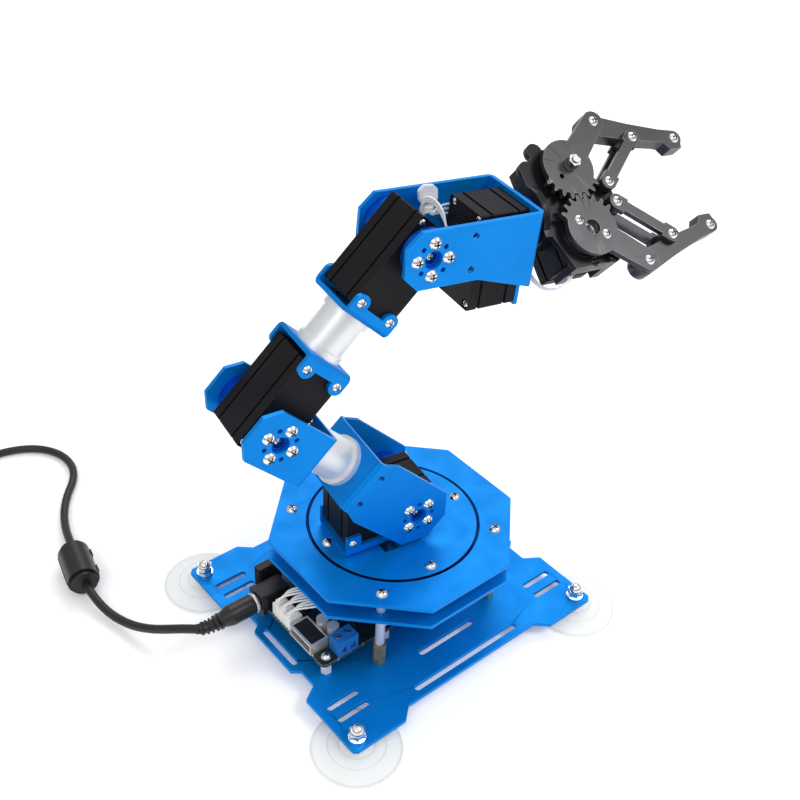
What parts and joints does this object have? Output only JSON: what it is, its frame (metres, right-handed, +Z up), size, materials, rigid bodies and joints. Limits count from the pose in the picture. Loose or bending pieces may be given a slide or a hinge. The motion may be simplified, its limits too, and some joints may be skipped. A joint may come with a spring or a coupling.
{
  "type": "desktop robot arm",
  "caption": "Desktop robot arm: sheet-metal base on suction cups, servo turntable, two tube links with forks, pitching and rolling wrist and a geared parallel-link gripper.",
  "frame": {"origin": "on the table surface under the turntable axis", "axes": "+Z up, +X along the base plate's long side, the arm's straight-ahead direction; the arm itself stands turned 9.5 degrees clockwise from it"},
  "size_m": [0.3556, 0.3986, 0.2473],
  "materials": {
    "blue_plate": "satin blue anodised sheet",
    "blue_horn": "satin darker blue",
    "servo_case": "matt black ribbed plastic",
    "tube": "satin turned",
    "fastener": "bright plated",
    "gripper_metal": "dark grey satin anodised",
    "servo_horn": "satin turned",
    "bearing_steel": "ground",
    "brass": "plain turned",
    "cup_rubber": "clear soft vinyl",
    "board": "black solder mask",
    "black_plastic": "moulded black",
    "white_plastic": "moulded white nylon",
    "blue_plastic": "moulded blue",
    "socket_shell": "plated shell",
    "lead_jacket": "black flexible jacket"
  },
  "bodies": {
    "base": {"base_plate": "blue_plate", "suction_cups": "cup_rubber", "cup_washers": "fastener", "acorn_nuts": "fastener", "brass_standoffs": "brass", "pillar_sleeves": "tube", "lower_deck": "blue_plate", "upper_deck": "blue_plate", "base_screws": "fastener", "base_servo": "servo_case", "slew_bearing": "bearing_steel", "controller_board": "board", "power_jack": "black_plastic", "servo_headers": "white_plastic", "usb_socket": "socket_shell", "screw_terminal": "blue_plastic", "capacitors": "black_plastic", "pin_block": "black_plastic", "power_plug": "lead_jacket", "power_lead": "lead_jacket", "ferrite_bead": "lead_jacket", "lead_coil": "lead_jacket", "lead_connector": "lead_jacket"},
    "turntable": {"turntable_disc": "blue_plate", "disc_screws": "fastener", "base_hub": "tube", "slew_ring": "bearing_steel", "shoulder_bracket": "blue_plate", "shoulder_servo": "servo_case", "turntable_screws": "fastener"},
    "upper_arm": {"shoulder_fork": "blue_plate", "elbow_fork": "blue_plate", "upper_tube": "tube", "upper_arm_horns": "blue_horn", "upper_arm_screws": "fastener"},
    "forearm": {"elbow_servo": "servo_case", "elbow_bracket": "blue_plate", "forearm_tube": "tube", "wrist_bracket": "blue_plate", "wrist_servo": "servo_case", "forearm_screws": "fastener"},
    "wrist": {"roll_bracket": "blue_plate", "wrist_horns": "blue_horn", "roll_servo": "servo_case", "wrist_screws": "fastener"},
    "gripper": {"gripper_frame": "gripper_metal", "roll_hub": "tube", "gripper_servo": "servo_case", "gripper_screws": "fastener", "idler_bolt": "fastener"},
    "drive_jaw_arm": {"drive_arm": "gripper_metal", "drive_horn": "servo_horn", "drive_screws": "fastener"},
    "idler_jaw_arm": {"idler_arm": "gripper_metal"},
    "drive_parallel_link": {"drive_link": "gripper_metal"},
    "idler_parallel_link": {"idler_link": "gripper_metal"},
    "drive_jaw_finger": {"drive_finger": "gripper_metal", "drive_finger_pins": "fastener"},
    "idler_jaw_finger": {"idler_finger": "gripper_metal", "idler_finger_pins": "fastener"}
  },
  "joints": [
    {"name": "base_yaw", "type": "hinge", "parent": "base", "child": "turntable", "pos_m": [0, 0, 0.0554], "axis": [0, 0, 1], "range_deg": [-80.5, 99.5]},
    {"name": "shoulder_pitch", "type": "hinge", "parent": "turntable", "child": "upper_arm", "pos_m": [0.00158, -0.00026, 0.0738], "axis": [-0.165, -0.9863, 0], "range_deg": [-135.5, 44.5]},
    {"name": "elbow_pitch", "type": "hinge", "parent": "upper_arm", "child": "forearm", "pos_m": [-0.07004, 0.01172, 0.14515], "axis": [0.165, 0.9863, 0], "range_deg": [-165, 15]},
    {"name": "wrist_pitch", "type": "hinge", "parent": "forearm", "child": "wrist", "pos_m": [-0.00015, 0.00002, 0.21726], "axis": [-0.165, -0.9863, 0], "range_deg": [-40.5, 139.5]},
    {"name": "wrist_roll", "type": "hinge", "parent": "wrist", "child": "gripper", "pos_m": [-0.00015, 0.00002, 0.21726], "axis": [0.9839, -0.1646, -0.0698], "range_deg": [-128.2, 51.8]},
    {"name": "jaw_drive", "type": "hinge", "parent": "gripper", "child": "drive_jaw_arm", "pos_m": [0.07928, -0.02543, 0.20202], "axis": [0.048, 0.619, -0.7839], "range_deg": [-35.3, 35]},
    {"name": "jaw_idler", "type": "hinge", "parent": "gripper", "child": "idler_jaw_arm", "pos_m": [0.08454, -0.00198, 0.22086], "axis": [0.048, 0.619, -0.7839], "range_deg": [-35, 35.3]},
    {"name": "drive_link_pivot", "type": "hinge", "parent": "gripper", "child": "drive_parallel_link", "pos_m": [0.09973, -0.02073, 0.20699], "axis": [0.048, 0.619, -0.7839], "range_deg": [-35.3, 35]},
    {"name": "idler_link_pivot", "type": "hinge", "parent": "gripper", "child": "idler_parallel_link", "pos_m": [0.10148, -0.01294, 0.21325], "axis": [0.048, 0.619, -0.7839], "range_deg": [-35, 35.3]},
    {"name": "drive_finger_pivot", "type": "hinge", "parent": "drive_jaw_arm", "child": "drive_jaw_finger", "pos_m": [0.09888, -0.04485, 0.18789], "axis": [0.048, 0.619, -0.7839], "range_deg": [-35, 35.3]},
    {"name": "idler_finger_pivot", "type": "hinge", "parent": "idler_jaw_arm", "child": "idler_jaw_finger", "pos_m": [0.11112, 0.00971, 0.23172], "axis": [0.048, 0.619, -0.7839], "range_deg": [-35.3, 35]}
  ],
  "couplings": [
    {"joint": "jaw_idler", "follows": "jaw_drive", "ratio": -1},
    {"joint": "drive_link_pivot", "follows": "jaw_drive", "ratio": 1},
    {"joint": "idler_link_pivot", "follows": "jaw_drive", "ratio": -1},
    {"joint": "drive_finger_pivot", "follows": "jaw_drive", "ratio": -1},
    {"joint": "idler_finger_pivot", "follows": "jaw_drive", "ratio": 1}
  ]
}
